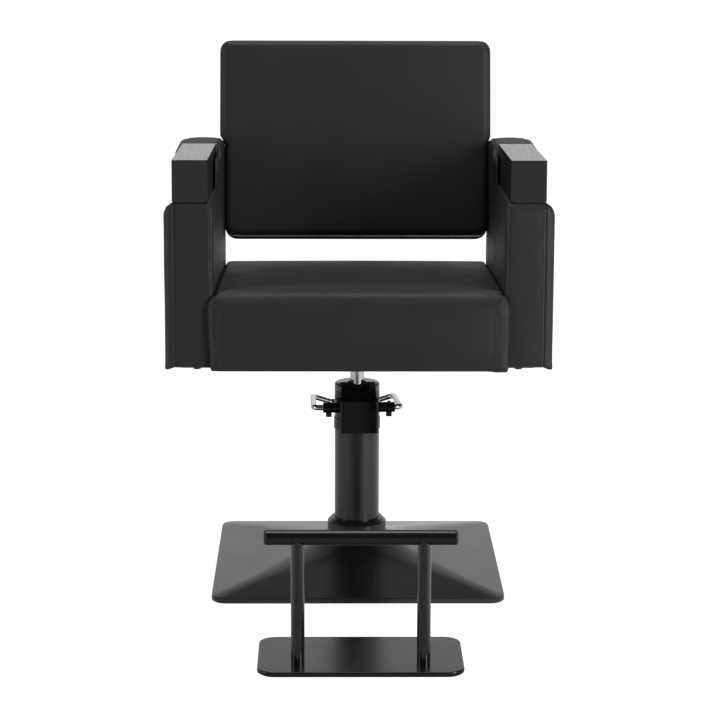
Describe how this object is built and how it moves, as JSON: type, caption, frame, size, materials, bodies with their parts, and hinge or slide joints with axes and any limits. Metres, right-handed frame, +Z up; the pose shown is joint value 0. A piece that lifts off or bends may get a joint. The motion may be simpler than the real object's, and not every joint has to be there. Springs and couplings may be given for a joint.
{
  "type": "hairdressing chair",
  "caption": "Hairdressing chair with padded seat and back, boxed arms, pump column on a square base that lifts and turns the seat, and a separate standing footrest.",
  "frame": {"origin": "the column's axis at the floor, on the underside of the base", "axes": "+Z up; the sitter faces -Y, so the backrest is at +Y; +X is the sitter's left"},
  "size_m": [0.6482, 0.9505, 0.9082],
  "materials": {
    "padding": "foam covered in black leatherette, a coated fabric with a fine grain",
    "leatherette": "black leatherette, fine grain, stitched along the seams",
    "painted_wood": "solid wood under satin black paint",
    "plywood": "bare plywood, inside the upholstery",
    "satin_black_steel": "satin black powder coat",
    "gloss_black_steel": "gloss black paint",
    "bare_steel": "zinc plated or machined, mostly hidden",
    "chrome": "bright chrome plate",
    "bronze": "plain bronze bearing",
    "black_rubber": "matt black rubber",
    "black_plastic": "moulded, black"
  },
  "bodies": {
    "base": {"base_mat": "black_rubber", "base_plate": "satin_black_steel", "base_cover": "satin_black_steel", "base_collar": "satin_black_steel", "pump_foot": "bare_steel", "foot_bolts": "bare_steel", "column_tube": "satin_black_steel", "pump_cylinder": "bare_steel", "pump_head": "gloss_black_steel", "head_cap": "gloss_black_steel", "rod_bush": "bronze", "rod_wiper": "black_rubber", "pump_cover": "black_plastic", "plunger_spring": "bare_steel"},
    "plunger": {"pump_plunger": "bare_steel"},
    "piston": {"piston": "bare_steel", "piston_seal": "black_rubber"},
    "seat": {"piston_rod": "chrome", "seat_hub": "satin_black_steel", "rod_screw": "bare_steel", "front_rail": "satin_black_steel", "rear_rail": "satin_black_steel", "seat_bolts": "bare_steel", "seat_board": "plywood", "seat_cushion": "padding", "arm_bolts": "bare_steel", "arm_frame_left": "plywood", "arm_frame_right": "plywood", "arm_band_left": "leatherette", "arm_band_right": "leatherette", "outer_pad_left": "padding", "outer_pad_right": "padding", "inner_pad_left": "padding", "inner_pad_right": "padding", "armrest_left": "painted_wood", "armrest_right": "painted_wood", "armrest_studs": "bare_steel", "back_board": "plywood", "back_cushion": "padding", "back_panel": "padding", "back_bolts": "bare_steel"},
    "pedal": {"cross_shaft": "gloss_black_steel", "pedal_loop": "chrome", "pedal_grip": "black_rubber", "pedal_bolts": "gloss_black_steel"},
    "footrest": {"footrest_mat": "black_rubber", "footrest_plate": "gloss_black_steel", "footrest_posts": "gloss_black_steel", "footrest_bar": "gloss_black_steel", "footrest_caps": "black_plastic"}
  },
  "joints": [
    {"name": "seat_lift", "type": "slide", "parent": "base", "child": "piston", "axis": [0, 0, 1], "range_m": [0, 0.14]},
    {"name": "seat_swivel", "type": "hinge", "parent": "piston", "child": "seat", "pos_m": [0, 0, 0.38], "axis": [0, 0, 1], "continuous": true},
    {"name": "pedal_press", "type": "hinge", "parent": "base", "child": "pedal", "pos_m": [0.00261, -0.04593, 0.297], "axis": [-0.9984, -0.0567, 0], "range_deg": [0, 25], "stiffness_Nm_per_rad": 3, "springref_deg": -29.79},
    {"name": "plunger_press", "type": "slide", "parent": "base", "child": "plunger", "axis": [0, 0, -1], "range_m": [0, 0.0075], "deforming": ["plunger_spring"]},
    {"name": "footrest_slide", "type": "slide", "parent": "base", "child": "footrest", "axis": [0, -1, 0], "range_m": [-0.19, 0.25]}
  ],
  "couplings": [
    {"joint": "plunger_press", "follows": "pedal_press", "m_per_rad": 0.016}
  ]
}
